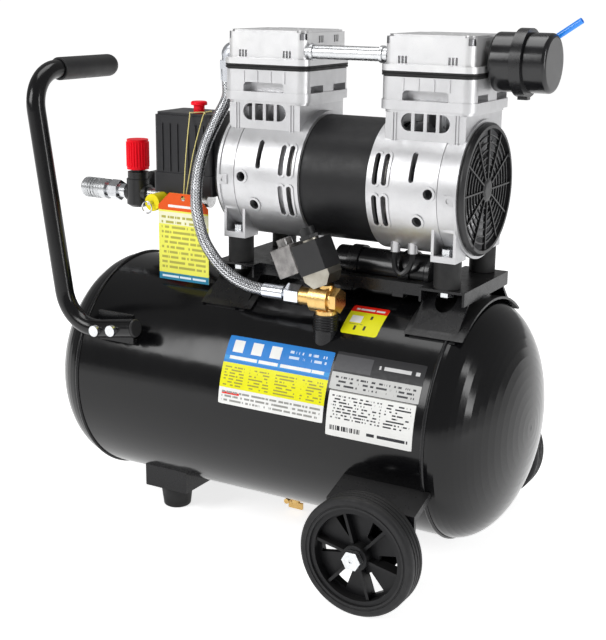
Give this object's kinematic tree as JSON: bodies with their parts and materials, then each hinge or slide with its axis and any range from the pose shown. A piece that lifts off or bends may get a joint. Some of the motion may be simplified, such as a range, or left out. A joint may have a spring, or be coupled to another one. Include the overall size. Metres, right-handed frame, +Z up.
{
  "type": "air compressor",
  "caption": "Portable oil-free air compressor: horizontal receiver on wheels and feet, twin-head motor on top, hose, pressure switch, regulator and carrying handle.",
  "frame": {"origin": "on the floor, under the middle of the whole object", "axes": "+X along the receiver towards the wheels and air filter, +Y to the back, away from the delivery hose, +Z up"},
  "size_m": [0.58, 0.379, 0.5551],
  "materials": {
    "tank_paint": "semi-gloss black powder coat with light orange peel",
    "bracket_paint": "black powder coat over weld beads",
    "frame_paint": "satin black powder coat on folded sheet",
    "handle_paint": "gloss black powder coat on tube",
    "brass": "machined brass with fine turning marks",
    "rubber": "matt black moulded rubber",
    "hub_plastic": "black moulded plastic",
    "tyre_rubber": "matt black rubber, slightly dusty",
    "zinc": "bright zinc plate",
    "grip_rubber": "soft black grip sleeve",
    "cast_alloy": "die-cast aluminium, fine blasted surface",
    "cover_alloy": "die-cast aluminium",
    "grille_plastic": "black moulded plastic",
    "stator_steel": "black lacquered steel laminations",
    "copper": "varnished copper wire",
    "bearing_steel": "ground steel",
    "shaft_steel": "ground steel with cast counterweights",
    "rotor_steel": "laminated steel with cast end rings",
    "fan_plastic": "dark moulded plastic",
    "piston_alloy": "machined aluminium",
    "block_alloy": "die-cast aluminium, blasted",
    "valve_plate": "black gaskets and plate",
    "head_alloy": "die-cast aluminium, blasted",
    "screw_steel": "plated cap screws",
    "tube_alloy": "drawn aluminium tube",
    "filter_plastic": "glossy black plastic",
    "filter_clip": "black plastic ring",
    "filter_felt": "pleated felt",
    "blue_tube": "blue polyurethane tube",
    "capacitor_case": "black capacitor can",
    "cable_rubber": "black sheathed cable",
    "steel_braid": "stainless wire braid",
    "hose_zinc": "zinc-plated hose ends",
    "coil_plastic": "black encapsulated coil",
    "yoke_steel": "zinc-plated steel",
    "clear_plastic": "clear plug housing",
    "nickel": "nickel-plated brass",
    "switch_plastic": "black moulded plastic",
    "red_button": "red plastic",
    "regulator_black": "black glass-filled plastic",
    "red_knob": "red ribbed plastic knob",
    "gauge_case": "black gauge case with white dial",
    "coupler_steel": "plated steel",
    "sleeve_steel": "knurled plated steel",
    "yellow_cap": "yellow plastic cap",
    "ring_steel": "bright wire ring",
    "tag_card": "coated card",
    "string": "twisted string"
  },
  "bodies": {
    "root": {"tank_shell": "tank_paint", "tank_heads": "tank_paint", "tank_weldments": "bracket_paint", "drain_valve": "brass", "rubber_feet": "rubber", "fasteners": "zinc", "mount_frame": "frame_paint", "rubber_mounts": "rubber", "handle_tube": "handle_paint", "handle_grip": "grip_rubber", "motor_case_left": "cast_alloy", "motor_case_right": "cast_alloy", "end_cover_left": "cover_alloy", "end_cover_right": "cover_alloy", "fan_grilles": "grille_plastic", "stator_core": "stator_steel", "stator_windings": "copper", "shaft_bearings": "bearing_steel", "cylinder_block_left": "block_alloy", "cylinder_block_right": "block_alloy", "valve_plates": "valve_plate", "cylinder_head_left": "head_alloy", "cylinder_head_right": "head_alloy", "head_screws": "screw_steel", "head_tube": "tube_alloy", "filter_base": "filter_plastic", "filter_cover": "filter_plastic", "filter_clamp": "filter_clip", "filter_element": "filter_felt", "filter_tube": "blue_tube", "capacitor": "capacitor_case", "motor_lead": "cable_rubber", "delivery_hose": "steel_braid", "hose_fittings": "hose_zinc", "check_valve": "brass", "unloader_coil": "coil_plastic", "unloader_yoke": "yoke_steel", "unloader_plug": "clear_plastic", "manifold": "nickel", "switch_cover": "switch_plastic", "regulator_body": "regulator_black", "pressure_gauge": "gauge_case", "coupler_body": "coupler_steel", "relief_valve": "yellow_cap", "tag_string": "string"},
    "wheel_front": {"wheel_hub_front": "hub_plastic", "tyre_front": "tyre_rubber"},
    "wheel_back": {"wheel_hub_back": "hub_plastic", "tyre_back": "tyre_rubber"},
    "shaft": {"crankshaft": "shaft_steel", "rotor": "rotor_steel", "cooling_fans": "fan_plastic"},
    "piston_left": {"piston_left": "piston_alloy"},
    "piston_right": {"piston_right": "piston_alloy"},
    "drain_knob": {"drain_knob": "brass"},
    "switch_button": {"switch_button": "red_button"},
    "regulator_knob": {"regulator_knob": "red_knob"},
    "coupler_sleeve": {"coupler_sleeve": "sleeve_steel"},
    "relief_ring": {"relief_ring": "ring_steel"},
    "hang_tag": {"hang_tag": "tag_card"}
  },
  "joints": [
    {"name": "wheel_front_spin", "type": "hinge", "parent": "root", "child": "wheel_front", "pos_m": [0.16901, -0.169, 0.06], "axis": [0, 1, 0], "continuous": true},
    {"name": "wheel_back_spin", "type": "hinge", "parent": "root", "child": "wheel_back", "pos_m": [0.16901, 0.169, 0.06], "axis": [0, 1, 0], "continuous": true},
    {"name": "shaft_spin", "type": "hinge", "parent": "root", "child": "shaft", "pos_m": [0.07501, 0, 0.39], "axis": [1, 0, 0], "continuous": true},
    {"name": "piston_left_slide", "type": "slide", "parent": "root", "child": "piston_left", "axis": [0, 0, 1], "range_m": [-0.009, 0.009]},
    {"name": "piston_right_slide", "type": "slide", "parent": "root", "child": "piston_right", "axis": [0, 0, 1], "range_m": [-0.009, 0.009]},
    {"name": "button_press", "type": "slide", "parent": "root", "child": "switch_button", "axis": [0, 0, -1], "range_m": [0, 0.006], "stiffness_N_per_m": 400},
    {"name": "regulator_turn", "type": "hinge", "parent": "root", "child": "regulator_knob", "pos_m": [-0.21299, 0, 0.38], "axis": [0, 0, 1], "range_deg": [-360, 360]},
    {"name": "sleeve_slide", "type": "slide", "parent": "root", "child": "coupler_sleeve", "axis": [1, 0, 0], "range_m": [0, 0.005], "stiffness_N_per_m": 1500},
    {"name": "relief_pull", "type": "slide", "parent": "root", "child": "relief_ring", "axis": [0, -1, 0], "range_m": [0, 0.003], "stiffness_N_per_m": 2000},
    {"name": "drain_turn", "type": "hinge", "parent": "root", "child": "drain_knob", "pos_m": [0.00001, 0, 0.014], "axis": [0, 0, 1], "range_deg": [0, 180]},
    {"name": "tag_swing", "type": "hinge", "parent": "root", "child": "hang_tag", "pos_m": [-0.10949, -0.058, 0.36], "axis": [0, 1, 0], "range_deg": [-5, 5]}
  ],
  "couplings": [
    {"joint": "piston_right_slide", "follows": "piston_left_slide", "ratio": -1}
  ]
}
